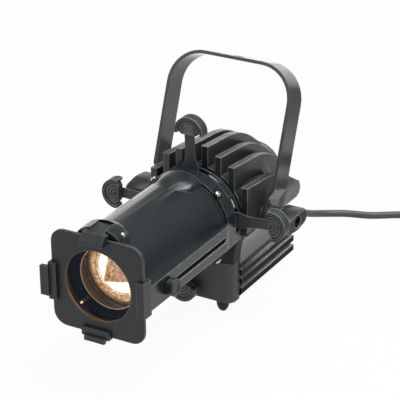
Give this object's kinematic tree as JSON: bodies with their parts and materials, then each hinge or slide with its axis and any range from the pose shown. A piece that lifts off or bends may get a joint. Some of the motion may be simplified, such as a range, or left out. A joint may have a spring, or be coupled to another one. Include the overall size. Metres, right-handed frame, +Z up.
{
  "type": "framing spotlight",
  "caption": "Small black profile spotlight with framing shutters, focus tube, finned reflector housing, yoke and ribbed transformer base.",
  "frame": {"origin": "on the floor under the middle of the box round the lamp, without its cord", "axes": "+X to the right seen from the lens, +Y from the lens to the lamp cap, +Z up"},
  "size_m": [0.3124, 0.4357, 0.2157],
  "materials": {
    "tube_paint": "fine satin black powder coat",
    "cast_paint": "fine textured black coat on a casting",
    "yoke_paint": "satin black coat on steel strap",
    "blade_steel": "heat resistant black on spring steel",
    "moulded_plastic": "satin black moulding",
    "bright_steel": "zinc plated",
    "mirror_metal": "bright anodised",
    "glass_clear": "polished",
    "core_iron": "laminated core",
    "ceramic_base": "glazed ceramic",
    "soft_rubber": "matt black"
  },
  "bodies": {
    "stand": {"reflector_housing": "cast_paint", "reflector": "mirror_metal", "lamp": "glass_clear", "lamp_holder": "ceramic_base", "lamp_cap": "cast_paint", "cap_screw_left": "bright_steel", "cap_screw_right": "bright_steel", "base_shell": "tube_paint", "base_front_cap": "moulded_plastic", "base_rear_cap": "moulded_plastic", "transformer": "core_iron", "foot_front_left": "soft_rubber", "foot_front_right": "soft_rubber", "foot_rear_left": "soft_rubber", "foot_rear_right": "soft_rubber", "pivot_stud_left": "bright_steel", "pivot_stud_right": "bright_steel", "friction_washer_left": "soft_rubber", "friction_washer_right": "soft_rubber", "cable_gland": "soft_rubber", "power_cord": "soft_rubber", "cord_coil": "soft_rubber", "cord_tie": "soft_rubber", "plug": "soft_rubber"},
    "barrel": {"colour_frame": "tube_paint", "frame_holder": "tube_paint", "latch_pin": "bright_steel", "lens_tube": "tube_paint", "gate_collar": "tube_paint", "gate_front_plate": "bright_steel", "gate_body": "cast_paint"},
    "latch": {"frame_latch": "tube_paint"},
    "focus": {"lens_carrier": "moulded_plastic", "lens": "glass_clear", "lens_ring": "moulded_plastic"},
    "focus_grip": {"focus_knob": "moulded_plastic"},
    "yoke_arm": {"yoke": "yoke_paint"},
    "lock_left": {"lock_knob_left": "moulded_plastic"},
    "lock_right": {"lock_knob_right": "moulded_plastic"},
    "shutter_top": {"shutter_blade_top": "blade_steel", "shutter_grip_top": "moulded_plastic"},
    "shutter_right": {"shutter_blade_right": "blade_steel", "shutter_grip_right": "moulded_plastic"},
    "shutter_bottom": {"shutter_blade_bottom": "blade_steel", "shutter_grip_bottom": "moulded_plastic"},
    "shutter_left": {"shutter_blade_left": "blade_steel", "shutter_grip_left": "moulded_plastic"}
  },
  "joints": [
    {"name": "yoke_tilt", "type": "hinge", "parent": "stand", "child": "yoke_arm", "pos_m": [0, 0.05555, 0.0908], "axis": [1, 0, 0], "range_deg": [-69, 36]},
    {"name": "barrel_turn", "type": "hinge", "parent": "stand", "child": "barrel", "pos_m": [0, -0.05225, 0.095], "axis": [0, 1, 0], "range_deg": [-25, 25]},
    {"name": "latch_lift", "type": "hinge", "parent": "barrel", "child": "latch", "pos_m": [0, -0.11775, 0.1416], "axis": [-1, 0, 0], "range_deg": [0, 70]},
    {"name": "focus_slide", "type": "slide", "parent": "barrel", "child": "focus", "axis": [0, 1, 0], "range_m": [-0.004, 0.092]},
    {"name": "focus_lock", "type": "hinge", "parent": "focus", "child": "focus_grip", "pos_m": [0.046, -0.09425, 0.0893], "axis": [1, 0, 0], "range_deg": [-180, 180]},
    {"name": "lock_turn_left", "type": "hinge", "parent": "stand", "child": "lock_left", "pos_m": [-0.065, 0.05555, 0.0908], "axis": [1, 0, 0], "range_deg": [-180, 180]},
    {"name": "lock_turn_right", "type": "hinge", "parent": "stand", "child": "lock_right", "pos_m": [0.065, 0.05555, 0.0908], "axis": [1, 0, 0], "range_deg": [-180, 180]},
    {"name": "shutter_top_slide", "type": "slide", "parent": "barrel", "child": "shutter_top", "axis": [0.0244, 0, -0.9997], "range_m": [-0.003, 0.02]},
    {"name": "shutter_right_slide", "type": "slide", "parent": "barrel", "child": "shutter_right", "axis": [-0.9956, 0, -0.0941], "range_m": [-0.003, 0.02]},
    {"name": "shutter_bottom_slide", "type": "slide", "parent": "barrel", "child": "shutter_bottom", "axis": [0.1478, 0, 0.989], "range_m": [-0.003, 0.015]},
    {"name": "shutter_left_slide", "type": "slide", "parent": "barrel", "child": "shutter_left", "axis": [0.999, 0, -0.0454], "range_m": [-0.003, 0.02]}
  ]
}
